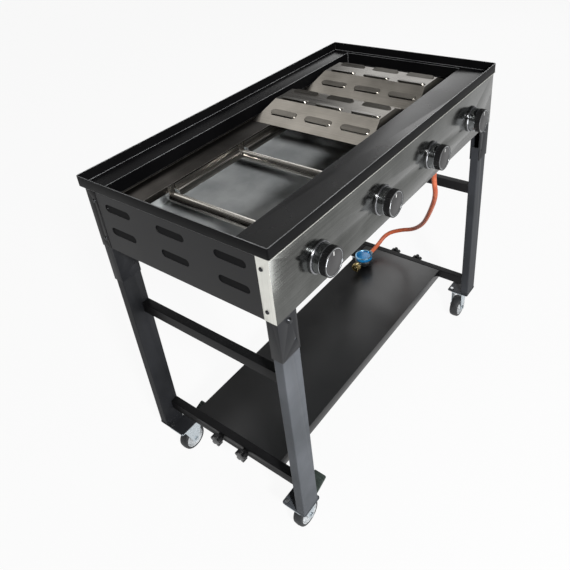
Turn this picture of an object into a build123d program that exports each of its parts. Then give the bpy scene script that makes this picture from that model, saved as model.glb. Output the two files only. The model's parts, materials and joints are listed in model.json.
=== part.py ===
from build123d import *
import math
import os

os.makedirs("parts", exist_ok=True)

# Overall size, in millimetres
rim_length = 1000.0
rim_depth = 536.0
station_height = 900.0

# Clearances
fit_gap = 0.1
run_gap = 0.06
slide_gap = 0.3

# Top frame
rim_height = 26.0
rim_wall = 2.0
rim_corner = 4.0
rim_inner_corner = 2.0
deck_sheet = 1.5
front_deck = 100.0
rear_deck = 58.0
side_ledge = 15.0
well_flange = 32.0

# Front, rear and side panels
panel_height = 151.0
panel_sheet = 0.8
panel_inset = 4.0
rear_inset = 20.0
side_inset = 2.0
side_sheet = 1.0
return_width = 30.0
panel_lip = 12.0
spindle_hole_radius = 9.0

# Side louvres
louvre_length = 80.0
louvre_height = 19.0
louvre_depth = 3.6
louvre_pitch_y = 160.0
louvre_pitch_z = 59.0
louvre_drop = 34.0
louvre_taper = 6.0

# Panel screws
screw_radius = 2.5
screw_head_radius = 4.6
screw_head_top_radius = 3.0
screw_head_height = 2.0
screw_edge = 20.0
screw_pitch = 99.0
screw_top = 28.0
screw_tail = 4.0

# Legs and their brackets
leg_width = 55.0
leg_depth = 25.0
leg_wall = 1.5
leg_corner = 2.5
leg_notch = 61.0
bracket_sheet = 1.5
bracket_top_gap = 14.0
bracket_drop = 101.0
bolt_radius = 4.0
bolt_head_radius = 7.0
bolt_head_top_radius = 4.0
bolt_head_height = 4.4
bolt_nut_radius = 7.2
bolt_nut_height = 6.5
bolt_drop = 15.0
bolt_inset = 23.0
bolt_margin = 12.0
lock_hole_radius = 3.3
lock_hole_drop = 56.0
lock_hole_inset = 12.0
foot_sheet = 3.0
foot_width = 63.0
foot_overhang = 1.4
foot_corner = 5.0
front_foot_depth = 70.0
rear_foot_depth = 90.0

# Side rails
rail_width = 22.0
rail_height = 30.0
rail_wall = 1.5
rail_corner = 2.0
upper_rail_drop = 205.0
lower_rail_level = 158.0

# Shelf, star knobs and weld nuts
shelf_depth = 290.0
shelf_setback = 113.0
shelf_sheet = 1.2
shelf_flange = 30.0
shelf_step = 1.0
star_spacing = 86.0
star_radius = 17.0
star_lobe_radius = 6.2
star_lobes = 5
star_thickness = 14.0
star_hub_radius = 8.5
star_hub_length = 7.0
star_stud_radius = 4.0
star_stud_tail = 3.0
weld_nut_radius = 7.4
weld_nut_height = 6.5

# Casters
caster_height = 105.0
caster_plate_length = 60.0
caster_plate_width = 54.0
caster_plate_sheet = 2.5
caster_inset = 30.0
front_caster_setback = 39.0
rear_caster_setback = 63.0
race_radius = 22.0
race_height = 6.0
kingpin_radius = 5.0
kingpin_head_radius = 8.0
kingpin_head_height = 4.0
caster_trail = 16.0
caster_bolt_radius = 3.0
caster_bolt_head = 5.6
caster_bolt_head_height = 4.0
caster_bolt_x = 22.0
caster_bolt_y = 20.0
wheel_diameter = 75.0
wheel_width = 27.0
tyre_depth = 9.0
tyre_shoulder = 4.0
wheel_web = 18.0
hub_radius = 12.0
hub_width = 32.0
hub_side_gap = 0.5
axle_radius = 4.0
axle_head_radius = 6.5
axle_head_height = 4.0
fork_sheet = 2.5
fork_cap_radius = 23.0
fork_cheek_front = 16.0
fork_cheek_back = 24.0
fork_eye_radius = 11.0

# Brake pedals
pedal_pivot_out = 36.0
pedal_pivot_level = 82.0
pedal_pin_radius = 3.0
pedal_eye_radius = 7.0
pedal_hub_radius = 6.0
pedal_length = 57.0
pedal_width = 36.0
pedal_neck = 9.0
pedal_thickness = 4.0
pedal_angle = 20.0
pedal_ribs = 6
pedal_rib_pitch = 7.0
pedal_rib_height = 1.5
pedal_rib_width = 3.0
shoe_radius = 4.0
shoe_offset = 5.5

# Burners, firewall, ledge and strips
burner_pitch = 238.0
burner_radius = 12.0
burner_wall = 1.2
burner_drop = 67.0
burner_start = 56.0
burner_tab_sheet = 1.5
burner_tab_half = 9.0
burner_tab_low = 6.0
burner_tab_clear = 2.0
port_width = 2.0
port_height = 3.0
port_rise = 5.0
port_count = 8
port_pitch = 33.0
port_start = 130.0
air_window_length = 22.8
air_window_height = 9.0
air_window_start = 74.0
firewall_sheet = 1.2
firewall_height = 94.0
tamer_lip = 19.0
ledge_drop = 36.0
ledge_front = 410.0
ledge_lip = 16.0
ledge_sheet = 1.2
strip_width = 12.0
strip_height = 16.0
strip_drop = 53.0
strip_rise = 13.0
strip_sheet = 1.0
strip_end_gap = 0.4

# Flame tamers
tamer_width = 236.0
tamer_start = 104.0
tamer_end = 470.0
tamer_rise = 38.0
tamer_flat = 76.0
tamer_hip = 20.0
tamer_sheet = 1.2
tamer_louvre_length = 90.0
tamer_louvre_width = 20.0
tamer_louvre_taper = 5.0
tamer_upper_rise = 5.0
tamer_lower_rise = 3.0
tamer_upper_inset = 13.0
tamer_row_pitch = 111.0
tamer_row_start = 67.0

# Drip tray and its runners
runner_sheet = 1.2
runner_height = 20.0
runner_flange = 15.0
runner_gap = 1.0
runner_rise = 5.0
tray_side_gap = 3.4
tray_sheet = 1.0
tray_depth = 22.0
tray_start = 66.0
tray_grip = 14.0
tray_grip_drop = 8.0
notch_gap = 1.5

# Gas train
spindle_drop = 84.0
valve_start = 14.0
valve_radius = 13.0
valve_length = 38.0
valve_cover = 3.0
valve_block_half = 8.0
valve_block_length = 18.0
valve_block_top = 25.0
jet_radius = 4.0
jet_length = 12.0
inlet_radius = 8.0
plug_radius = 7.0
plug_length = 29.0
plug_end_gap = 0.5
plug_port_half = 2.0
plug_port_back = 4.0
manifold_drop = 30.0
manifold_radius = 10.0
manifold_setback = 38.0
manifold_overhang = 40.0
boss_radius = 9.0
boss_height = 13.0
clip_sheet = 3.0
clip_width = 30.0
clip_foot = 22.0
elbow_radius = 8.0
ferrule_radius = 9.5
ferrule_length = 22.0
inlet_offset = 98.0
inlet_setback = 3.0
inlet_drop = 45.0

# Control knobs and bezels
knob_reach = 32.6
knob_radius = 31.8
knob_ring = 4.0
knob_dish = 1.0
knob_travel = 3.0
knob_rest_gap = 1.5
pointer_width = 3.0
pointer_length = 9.0
pointer_gap = 2.0
bezel_radius = 35.2
bezel_wall = 2.8
bezel_height = 6.0
bezel_chamfer = 2.0
stem_radius = 4.0
stem_flat = 3.0
stem_seat = 8.0
stem_engage = 13.0
stem_socket = 20.0

# Hose and regulator
hose_radius = 7.0
hose_lead = 55.0
hose_bend_share = 0.45
hose_route = [
    (236, -205.7, 608),
    (328, -151.7, 473),
    (427, -83.7, 354),
    (480, -14.7, 282),
    (486, 34.3, 244),
    (470, 74.3, 218),
]
regulator_inset = 101.5
regulator_setback = 238.0
regulator_bore_rise = 22.0
regulator_back = 32.0
regulator_foot_radius = 12.0
regulator_bowl_radius = 27.0
regulator_rim_radius = 30.0
regulator_rim_height = 6.0
regulator_bowl_rise = 12.0
regulator_body_height = 30.0
regulator_cap_height = 14.0
regulator_cap_wall = 8.4
regulator_cap_top_radius = 22.0
outlet_radius = 8.0
spigot_radius = 8.0
spigot_head_radius = 10.0
spigot_head_length = 3.0
spigot_length = 48.0
nut_bore_radius = 10.9
nut_radius = 14.0
nut_wall = 4.0
nut_mouth = 11.0
nut_thread = 10.5
nut_relief_radius = 11.5
nut_flutes = 8
nut_flute_radius = 2.0


# Small helpers
def block(x0, x1, y0, y1, z0, z1):
    return Pos((x0 + x1) / 2, (y0 + y1) / 2, (z0 + z1) / 2) * Box(x1 - x0, y1 - y0, z1 - z0)


def rod_x(radius, x0, x1, y, z):
    return Pos((x0 + x1) / 2, y, z) * Rot(0, 90, 0) * Cylinder(radius, x1 - x0)


def rod_y(radius, y0, y1, x, z):
    return Pos(x, (y0 + y1) / 2, z) * Rot(90, 0, 0) * Cylinder(radius, y1 - y0)


def rod_z(radius, z0, z1, x, y):
    return Pos(x, y, (z0 + z1) / 2) * Cylinder(radius, z1 - z0)


def turned_x(points):
    return revolve(make_face(Polyline(*points, close=True)), axis=Axis.X)


def turned_y(points):
    return revolve(make_face(Polyline(*points, close=True)), axis=Axis.Y)


def turned_z(points):
    return revolve(make_face(Plane.XZ * Polyline(*points, close=True)), axis=Axis.Z)


def folded_x(points, sheet, x0, x1):
    # Bent sheet whose outer line is drawn in (Y, Z) and which runs along X
    line = offset(Polyline(*points), amount=sheet, side=Side.LEFT, kind=Kind.INTERSECTION)
    return extrude(Plane.YZ.offset(x0) * make_face(line), x1 - x0)


def hexagon_bar(radius, length):
    return extrude(RegularPolygon(radius, 6), length)


def mirror_x(shape):
    return mirror(shape, about=Plane.YZ)


def group(shapes):
    return Compound(children=list(shapes))


def save(shape, name):
    shape.label = name
    export_step(shape, "parts/" + name + ".step")


def hooded_louvre(length, width, rise, taper, sheet):
    # Thin hood on a flat face: flush along its -Y edge, open along its +Y edge, with sloped ends
    sunk = -sheet / 2
    side = [(-width / 2, sunk), (width / 2, sunk), (width / 2, rise), (-width / 2, 0)]
    foot = length / 2
    crest = foot - taper
    ends = [(-foot, sunk), (foot, sunk), (foot, 0), (crest, rise), (-crest, rise), (-foot, 0)]
    hood = extrude(Plane.YZ * make_face(Polyline(*side, close=True)), foot, both=True)
    hood &= extrude(Plane.XZ * make_face(Polyline(*ends, close=True)), width, both=True)
    hollow = Pos(0, 1, rise / width - sheet) * hood
    slot = block(-crest, crest, sheet - width / 2, width / 2, -2 * sheet, 0)
    return hood, hollow + slot


# Levels and faces that the pieces share
right = rim_length / 2
front = (knob_reach - rim_depth) / 2
back = front + rim_depth
middle = (front + back) / 2
rim_bottom = station_height - rim_height
deck_top = rim_bottom + deck_sheet
well_half = right - side_ledge
well_front = front + front_deck
well_back = back - rear_deck
well_low = rim_bottom - well_flange
panel_bottom = rim_bottom - panel_height
panel_face = front + panel_inset
panel_back = panel_face + panel_sheet
rear_face = back - rear_inset
rear_inner = rear_face - panel_sheet
return_out = right - side_inset
side_out = return_out - panel_sheet
side_in = side_out - side_sheet
web_in = side_in - bracket_sheet
leg_out = web_in - fit_gap
leg_in = leg_out - leg_width
leg_front = panel_back + bracket_sheet + fit_gap
leg_back = leg_front + leg_depth
rear_leg_back = rear_inner - bracket_sheet - fit_gap
rear_leg_front = rear_leg_back - leg_depth
runner_out = leg_in - runner_gap
runner_in = runner_out - runner_sheet
tray_half = runner_in - tray_side_gap
notch_half = tray_half + notch_gap
bolt_x = leg_in + bolt_inset
bolt_level = panel_bottom - bolt_drop
leg_top = bolt_level + bolt_margin
foot_top = caster_height + foot_sheet
upper_rail_level = panel_bottom - upper_rail_drop
burner_level = rim_bottom - burner_drop
spindle_level = rim_bottom - spindle_drop
manifold_level = spindle_level - manifold_drop
boss_top = manifold_level + boss_height
runner_level = panel_bottom + runner_rise
burner_places = [(i - 1.5) * burner_pitch for i in range(4)]

# Top frame: folded rim, deck and the down-flange round the cooking well
rim = extrude(RectangleRounded(rim_length, rim_depth, rim_corner), rim_height)
pocket_length = rim_length - 2 * rim_wall
pocket_depth = rim_depth - 2 * rim_wall
pocket = extrude(RectangleRounded(pocket_length, pocket_depth, rim_inner_corner), rim_height)
top_frame = Pos(0, middle, rim_bottom) * rim - Pos(0, middle, deck_top) * pocket
flange_out = well_half + deck_sheet
flange_front = well_front - deck_sheet
flange_back = well_back + deck_sheet
top_frame += block(-flange_out, flange_out, flange_front, flange_back, well_low, rim_bottom)
top_frame -= block(-well_half, well_half, well_front, well_back, well_low, station_height)
save(top_frame, "top_frame")

# Screws through the panel returns, the side panels and the bracket webs
screw_rows = [panel_face + screw_edge, rear_face - screw_edge]
screw_levels = [rim_bottom - screw_top, rim_bottom - screw_top - screw_pitch]
screw_places = [(y, z) for y in screw_rows for z in screw_levels]


def screw_holes():
    places = []
    for y, z in screw_places:
        places.append(rod_x(screw_radius + fit_gap, web_in - 1, return_out + 1, y, z))
    return places


right_holes = screw_holes()
left_holes = [mirror_x(h) for h in right_holes]
screw_head = [
    (web_in - screw_tail, 0),
    (web_in - screw_tail, screw_radius),
    (return_out, screw_radius),
    (return_out, screw_head_radius),
    (return_out + screw_head_height, screw_head_top_radius),
    (return_out + screw_head_height, 0),
]
screw = turned_x(screw_head)
screws = [Pos(0, y, z) * screw for y, z in screw_places]
save(group(screws + [mirror_x(s) for s in screws]), "panel_screws")


# Front and rear panels: shallow folded trays with wrapped side returns and short lips
def wrapped_panel(face, inward):
    deep = face + inward * return_width
    lip = face + inward * panel_lip
    inner = face + inward * panel_sheet
    low, high = panel_bottom, rim_bottom
    y0, y1 = min(face, deep), max(face, deep)
    shell = block(-return_out, return_out, y0, y1, low, high)
    y0, y1 = min(inner, deep), max(inner, deep)
    shell -= block(-side_out, side_out, y0, y1, low + panel_sheet, high - panel_sheet)
    shell -= block(notch_half, side_out, y0, y1, low, high)
    shell -= block(-side_out, -notch_half, y0, y1, low, high)
    y0, y1 = min(lip, deep), max(lip, deep)
    shell -= block(-notch_half, notch_half, y0, y1, low, high)
    for hole in right_holes + left_holes:
        shell -= hole
    return shell


front_panel = wrapped_panel(panel_face, 1)
for x in burner_places:
    front_panel -= rod_y(spindle_hole_radius, panel_face - 1, panel_back + 1, x, spindle_level)
save(front_panel, "front_panel")

tray_low = runner_level + slide_gap
tray_top = tray_low + tray_depth
rear_panel = wrapped_panel(rear_face, -1)
notch_front = rear_face - return_width
rear_panel -= block(-notch_half, notch_half, notch_front, back, panel_bottom, tray_top + notch_gap)
save(rear_panel, "rear_panel")

# Side panels with six pressed louvres each
right_side = block(side_in, side_out, panel_back, rear_inner, panel_bottom, rim_bottom)
for hole in right_holes:
    right_side -= hole
hood_length = louvre_length + 2 * side_sheet
hood_width = louvre_height + 2 * side_sheet
hood, hollow = hooded_louvre(hood_length, hood_width, louvre_depth, louvre_taper, side_sheet)
louvre_slot = extrude(SlotOverall(louvre_length, louvre_height), side_sheet * 2, both=True)
louvre_middle = (panel_back + rear_inner) / 2
side_face = Plane(origin=(side_in, 0, 0), x_dir=(0, 1, 0), z_dir=(-1, 0, 0)) * Rot(0, 0, 180)
for i in range(3):
    for j in range(2):
        y = louvre_middle + (i - 1) * louvre_pitch_y
        z = rim_bottom - louvre_drop - j * louvre_pitch_z
        spot = Pos(0, y, z) * side_face
        right_side += spot * hood
        right_side -= spot * hollow
        right_side -= spot * louvre_slot
save(right_side, "right_side_panel")
save(mirror_x(right_side), "left_side_panel")

# Leg brackets: channels open to the inside, bolted through the legs
bracket_low = panel_bottom - bracket_drop
bracket_high = rim_bottom - bracket_top_gap
lock_level = bolt_level - lock_hole_drop


def leg_bracket(y0, y1, holes):
    reach = bracket_sheet + fit_gap
    channel = block(leg_in, side_in, y0 - reach, y1 + reach, bracket_low, bracket_high)
    channel -= block(leg_in - 1, web_in, y0 - fit_gap, y1 + fit_gap, bracket_low - 1, bracket_high + 1)
    reach += 1
    channel -= rod_y(bolt_radius + fit_gap, y0 - reach, y1 + reach, bolt_x, bolt_level)
    channel -= rod_y(lock_hole_radius, y0 - reach, y1 + reach, leg_in + lock_hole_inset, lock_level)
    for hole in holes:
        channel -= hole
    return channel


right_brackets = [
    leg_bracket(leg_front, leg_back, right_holes[:2]),
    leg_bracket(rear_leg_front, rear_leg_back, right_holes[2:]),
]
save(group(right_brackets + [mirror_x(b) for b in right_brackets]), "leg_brackets")

# Pivot bolts with button heads outside and nuts inside
front_head = leg_front - fit_gap - bracket_sheet
front_nut = leg_back + fit_gap + bracket_sheet
bolt_profile = [
    (0, front_head - bolt_head_height),
    (bolt_head_top_radius, front_head - bolt_head_height),
    (bolt_head_radius, front_head),
    (bolt_radius, front_head),
    (bolt_radius, front_nut + 1),
    (0, front_nut + 1),
]
bolt = Pos(bolt_x, 0, bolt_level) * turned_y(bolt_profile)
nut_plane = Plane(origin=(bolt_x, front_nut, bolt_level), x_dir=(1, 0, 0), z_dir=(0, 1, 0))
bolt += nut_plane * hexagon_bar(bolt_nut_radius, bolt_nut_height)
bolt_mirror = Plane.XZ.offset(-(leg_front + rear_leg_back) / 2)
right_bolts = [bolt, mirror(bolt, about=bolt_mirror)]
save(group(right_bolts + [mirror_x(b) for b in right_bolts]), "leg_bolts")

# Legs: box tubes cut open on their inner side at the top, with a welded foot plate
foot_out = leg_out + foot_overhang
foot_in = foot_out - foot_width
caster_x = foot_out - caster_inset
front_foot_front = leg_front - foot_overhang
rear_foot_back = rear_leg_back + foot_overhang
front_caster_y = front_foot_front + front_caster_setback
rear_caster_y = rear_foot_back - rear_caster_setback
foot_middle_x = (foot_in + foot_out) / 2


def leg(y0, y1, foot_start, foot_end, caster_y):
    centre = Pos((leg_in + leg_out) / 2, (y0 + y1) / 2, foot_top)
    length = leg_top - foot_top
    tube = extrude(RectangleRounded(leg_width, leg_depth, leg_corner), length)
    bore = Rectangle(leg_width - 2 * leg_wall, leg_depth - 2 * leg_wall)
    tube = centre * (tube - extrude(bore, length))
    cut_low = panel_bottom - leg_notch
    cut_in = leg_in + leg_corner + leg_wall
    tube -= block(leg_in - 1, cut_in, y0 + leg_wall, y1 - leg_wall, cut_low, leg_top + 1)
    tube -= rod_y(bolt_radius + fit_gap, y0 - 1, y1 + 1, bolt_x, bolt_level)
    plate = extrude(RectangleRounded(foot_width, foot_end - foot_start, foot_corner), foot_sheet)
    plate = Pos(foot_middle_x, (foot_start + foot_end) / 2, caster_height) * plate
    for side in (-1, 1):
        x = caster_x + side * caster_bolt_x
        y = caster_y + caster_bolt_y
        plate -= rod_z(caster_bolt_radius + fit_gap, caster_height - 1, foot_top + 1, x, y)
    return tube + plate


front_foot_end = front_foot_front + front_foot_depth
rear_foot_start = rear_foot_back - rear_foot_depth
front_leg = leg(leg_front, leg_back, front_foot_front, front_foot_end, front_caster_y)
rear_leg = leg(rear_leg_front, rear_leg_back, rear_foot_start, rear_foot_back, rear_caster_y)
save(front_leg, "leg_front_right")
save(mirror_x(front_leg), "leg_front_left")
save(rear_leg, "leg_rear_right")
save(mirror_x(rear_leg), "leg_rear_left")

# Side rails between the legs, flush with the inner faces of the legs
rail_out = leg_in + rail_width
rail_length = rear_leg_front - leg_back
shelf_front = front + shelf_setback
star_places = [shelf_front + shelf_depth / 2 + side * star_spacing / 2 for side in (-1, 1)]


def rail(level):
    section = RectangleRounded(rail_width, rail_height, rail_corner)
    bore = Rectangle(rail_width - 2 * rail_wall, rail_height - 2 * rail_wall)
    plane = Plane(origin=(leg_in + rail_width / 2, leg_back, level), x_dir=(1, 0, 0), z_dir=(0, 1, 0))
    return extrude(plane * (section - bore), rail_length)


upper_rail = rail(upper_rail_level)
lower_rail = rail(lower_rail_level)
for y in star_places:
    lower_rail -= rod_x(star_stud_radius + run_gap, leg_in - 1, rail_out + 1, y, lower_rail_level)
save(upper_rail, "rail_upper_right")
save(mirror_x(upper_rail), "rail_upper_left")
save(lower_rail, "rail_lower_right")
save(mirror_x(lower_rail), "rail_lower_left")

# Shelf: one folded sheet with four flanges down, hung between the lower rails
shelf_half = leg_in - fit_gap
shelf_top = lower_rail_level + rail_height / 2 - shelf_step
shelf_low = shelf_top - shelf_flange
shelf_back = shelf_front + shelf_depth
shelf = block(-shelf_half, shelf_half, shelf_front, shelf_back, shelf_low, shelf_top)
hollow_half = shelf_half - shelf_sheet
hollow_front = shelf_front + shelf_sheet
hollow_back = shelf_back - shelf_sheet
shelf -= block(-hollow_half, hollow_half, hollow_front, hollow_back, shelf_low, shelf_top - shelf_sheet)
for y in star_places:
    shelf -= rod_x(star_stud_radius + run_gap, -shelf_half - 1, shelf_half + 1, y, lower_rail_level)
save(shelf, "shelf")

# Weld nuts inside the shelf flanges
weld_nuts = []
nut_low = hollow_half - weld_nut_height
for y in star_places:
    plane = Plane(origin=(nut_low, y, lower_rail_level), x_dir=(0, 1, 0), z_dir=(1, 0, 0))
    nut = plane * hexagon_bar(weld_nut_radius, weld_nut_height)
    nut -= rod_x(star_stud_radius + run_gap, nut_low - 1, hollow_half + 1, y, lower_rail_level)
    weld_nuts.append(nut)
save(group(weld_nuts + [mirror_x(n) for n in weld_nuts]), "shelf_weld_nuts")

# Star knobs: lobed head, hub and threaded stud
star_back = rail_out + slide_gap
star_face = star_back + star_hub_length
lobe_circle = star_radius - star_lobe_radius
star_sketch = Circle(lobe_circle)
for i in range(star_lobes):
    turn = 90 + i * 360 / star_lobes
    star_sketch += Rot(0, 0, turn) * Pos(lobe_circle, 0) * Circle(star_lobe_radius)
star_plane = Plane(origin=(star_face, 0, 0), x_dir=(0, 1, 0), z_dir=(1, 0, 0))
star = extrude(star_plane * star_sketch, star_thickness)
star += rod_x(star_hub_radius, star_back, star_face + star_thickness / 2, 0, 0)
star += rod_x(star_stud_radius, nut_low - star_stud_tail, star_back + 1, 0, 0)
for y, place in zip(star_places, ("front", "rear")):
    knob = Pos(0, y, lower_rail_level) * star
    save(knob, "star_knob_" + place + "_right")
    save(mirror_x(knob), "star_knob_" + place + "_left")

# Caster top plates with ball race and riveted kingpin
plate_low = caster_height - caster_plate_sheet
race_low = plate_low - race_height
cap_top = race_low - slide_gap
cap_low = cap_top - fork_sheet
pin_head_top = cap_low - slide_gap
kingpin = [
    (0, pin_head_top - kingpin_head_height),
    (kingpin_head_radius, pin_head_top - kingpin_head_height),
    (kingpin_head_radius, pin_head_top),
    (kingpin_radius, pin_head_top),
    (kingpin_radius, race_low),
    (race_radius, race_low),
    (race_radius, plate_low),
    (0, plate_low),
]
plate_plan = RectangleRounded(caster_plate_length, caster_plate_width, foot_corner)
caster_plate = Pos(0, 0, plate_low) * extrude(plate_plan, caster_plate_sheet) + turned_z(kingpin)
for side in (-1, 1):
    x = side * caster_bolt_x
    caster_plate -= rod_z(caster_bolt_radius + fit_gap, plate_low - 1, caster_height + 1, x, caster_bolt_y)
caster_places = {
    "front_left": (-caster_x, front_caster_y),
    "front_right": (caster_x, front_caster_y),
    "rear_left": (-caster_x, rear_caster_y),
    "rear_right": (caster_x, rear_caster_y),
}
save(group([Pos(x, y, 0) * caster_plate for x, y in caster_places.values()]), "caster_plates")

# Caster bolts: hexagon heads on the foot plates, nuts under the caster plates
bolt_hexagon = hexagon_bar(caster_bolt_head, caster_bolt_head_height)
bolt_body = Pos(0, 0, foot_top) * bolt_hexagon
bolt_body += rod_z(caster_bolt_radius, plate_low, foot_top + 1, 0, 0)
bolt_body += Pos(0, 0, plate_low - caster_bolt_head_height) * bolt_hexagon
caster_bolts = []
for x, y in caster_places.values():
    for side in (-1, 1):
        caster_bolts.append(Pos(x + side * caster_bolt_x, y + caster_bolt_y, 0) * bolt_body)
save(group(caster_bolts), "caster_bolts")

# Caster forks: capped cheeks down to the axle, made for a trail along +X
wheel_radius = wheel_diameter / 2
cheek_in = hub_width / 2 + hub_side_gap
cheek_out = cheek_in + fork_sheet


def caster_fork(braked):
    cheek_edges = [Line((-fork_cheek_front, cap_top), (fork_cheek_back, cap_top))]
    cheek_edges.append(Pos(caster_trail, wheel_radius) * Circle(fork_eye_radius).edge())
    if braked:
        cheek_edges.append(Pos(pedal_pivot_out, pedal_pivot_level) * Circle(pedal_eye_radius).edge())
    cheek = make_hull(cheek_edges)
    right_cheek = extrude(Plane.XZ.offset(-cheek_out) * cheek, fork_sheet)
    left_cheek = extrude(Plane.XZ.offset(cheek_in) * cheek, fork_sheet)
    cap = rod_z(fork_cap_radius, cap_low, cap_top, 0, 0)
    cap += block(-fork_cheek_front, fork_cheek_back, -cheek_out, cheek_out, cap_low, cap_top)
    fork = cap + right_cheek + left_cheek
    fork -= rod_z(kingpin_radius + run_gap, cap_low - 1, cap_top + 1, 0, 0)
    fork += rod_y(axle_radius, -cheek_out, cheek_out, caster_trail, wheel_radius)
    for y in (-cheek_out - axle_head_height, cheek_out):
        plane = Plane(origin=(caster_trail, y, wheel_radius), x_dir=(1, 0, 0), z_dir=(0, 1, 0))
        fork += plane * hexagon_bar(axle_head_radius, axle_head_height)
    if braked:
        fork += rod_y(pedal_pin_radius, -cheek_out, cheek_out, pedal_pivot_out, pedal_pivot_level)
    return fork


# Caster wheels: tyre on a webbed hub
tyre_inner = wheel_radius - tyre_depth
half_tread = wheel_width / 2
tyre_profile = [
    (tyre_inner, -half_tread),
    (wheel_radius - tyre_shoulder, -half_tread),
    (wheel_radius, -half_tread + tyre_shoulder),
    (wheel_radius, half_tread - tyre_shoulder),
    (wheel_radius - tyre_shoulder, half_tread),
    (tyre_inner, half_tread),
]
rim_seat = tyre_inner - fit_gap / 2
axle_bore = axle_radius + run_gap
hub_profile = [
    (axle_bore, -hub_width / 2),
    (hub_radius, -hub_width / 2),
    (hub_radius, -wheel_web / 2),
    (rim_seat, -wheel_web / 2),
    (rim_seat, wheel_web / 2),
    (hub_radius, wheel_web / 2),
    (hub_radius, hub_width / 2),
    (axle_bore, hub_width / 2),
]
wheel_solids = [turned_y(tyre_profile), turned_y(hub_profile)]

# Brake pedals: hub and shoe between the cheeks, ridged tread outside them
pedal_hub_half = cheek_in - hub_side_gap
pedal_start = pedal_neck
pedal = rod_y(pedal_hub_radius, -pedal_hub_half, pedal_hub_half, 0, 0)
shoe_turn = math.atan2(wheel_radius - pedal_pivot_level, caster_trail - pedal_pivot_out)
shoe_x = shoe_offset * math.cos(shoe_turn)
shoe_z = shoe_offset * math.sin(shoe_turn)
pedal += rod_y(shoe_radius, -wheel_width / 2, wheel_width / 2, shoe_x, shoe_z)
plate_half = pedal_thickness / 2
tread = block(0, pedal_start + 1, -pedal_hub_half, pedal_hub_half, -plate_half, plate_half)
tread_plan = RectangleRounded(pedal_length - pedal_start, pedal_width, pedal_thickness)
tread += Pos((pedal_start + pedal_length) / 2, 0, -plate_half) * extrude(tread_plan, pedal_thickness)
rib_top = plate_half + pedal_rib_height
for i in range(pedal_ribs):
    x = pedal_length - pedal_thickness - i * pedal_rib_pitch
    rib_half = pedal_width / 2 - pedal_thickness
    tread += block(x - pedal_rib_width, x, -rib_half, rib_half, 0, rib_top)
pedal += Rot(0, -pedal_angle, 0) * tread
pedal -= rod_y(pedal_pin_radius + run_gap, -pedal_hub_half - 1, pedal_hub_half + 1, 0, 0)
pedal = Pos(pedal_pivot_out, 0, pedal_pivot_level) * pedal

plain_fork = caster_fork(False)
braked_fork = caster_fork(True)
for name, (x, y) in caster_places.items():
    facing = Pos(x, y, 0) if x < 0 else Pos(x, y, 0) * Rot(0, 0, 180)
    fork = braked_fork if x < 0 else plain_fork
    save(facing * fork, "caster_fork_" + name)
    axle_place = facing * Pos(caster_trail, 0, wheel_radius)
    save(group([axle_place * s for s in wheel_solids]), "caster_wheel_" + name)
    if x < 0:
        save(facing * pedal, "brake_pedal_" + name)

# Front firewall: upright sheet with burner holes and a lip that carries the tamers
ledge_level = rim_bottom - ledge_drop
wall_back = flange_front
wall_front = wall_back - firewall_sheet
firewall_low = rim_bottom - firewall_height
lip_low = ledge_level - firewall_sheet
firewall = block(-well_half, well_half, wall_front, wall_back, firewall_low, rim_bottom)
firewall += block(-well_half, well_half, wall_back, wall_back + tamer_lip, lip_low, ledge_level)
for x in burner_places:
    firewall -= rod_y(burner_radius + fit_gap, wall_front - 1, wall_back + 1, x, burner_level)
save(firewall, "front_firewall")

# Rear ledge: folded down behind the well flange, forward, and down again
ledge_edge = front + ledge_front
ledge_points = [
    (flange_back, rim_bottom),
    (flange_back, ledge_level),
    (ledge_edge, ledge_level),
    (ledge_edge, ledge_level - ledge_lip),
]
rear_ledge = folded_x(ledge_points, ledge_sheet, -well_half, well_half)
save(rear_ledge, "rear_burner_ledge")

# Burner tubes: open venturi mouth, air windows, flame ports and a rear fixing tab
burner_mouth = front + burner_start
burner_end = ledge_edge - burner_tab_sheet
tube_bore = burner_radius - burner_wall
burner = rod_y(burner_radius, burner_mouth, burner_end, 0, burner_level)
burner -= rod_y(tube_bore, burner_mouth - 1, burner_end - burner_wall, 0, burner_level)
tab_low = burner_level - burner_tab_low
tab_high = ledge_level - burner_tab_clear
burner += block(-burner_tab_half, burner_tab_half, burner_end, ledge_edge, tab_low, tab_high)
window_start = front + air_window_start
window_end = window_start + air_window_length
window_half = air_window_height / 2
wide = burner_radius + 1
window_low = burner_level - window_half
burner -= block(-wide, wide, window_start, window_end, window_low, window_low + air_window_height)
for i in range(port_count):
    y = front + port_start + i * port_pitch
    z = burner_level + port_rise
    burner -= block(-wide, wide, y - port_width / 2, y + port_width / 2, z, z + port_height)
for i, x in enumerate(burner_places):
    save(Pos(x, 0, 0) * burner, "burner_" + str(i + 1))

# Carry-over strips between neighbouring burners, fixed to the lip of the rear ledge
strip_top = rim_bottom - strip_drop
strip_points = [
    (ledge_edge - strip_width, strip_top - strip_height),
    (ledge_edge - strip_width, strip_top),
    (ledge_edge, strip_top),
    (ledge_edge, strip_top + strip_rise),
]
strips = []
for x0, x1 in zip(burner_places[:-1], burner_places[1:]):
    start = x0 + burner_radius + strip_end_gap
    end = x1 - burner_radius - strip_end_gap
    strips.append(folded_x(strip_points, strip_sheet, start, end))
save(group(strips), "carryover_strips")

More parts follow.
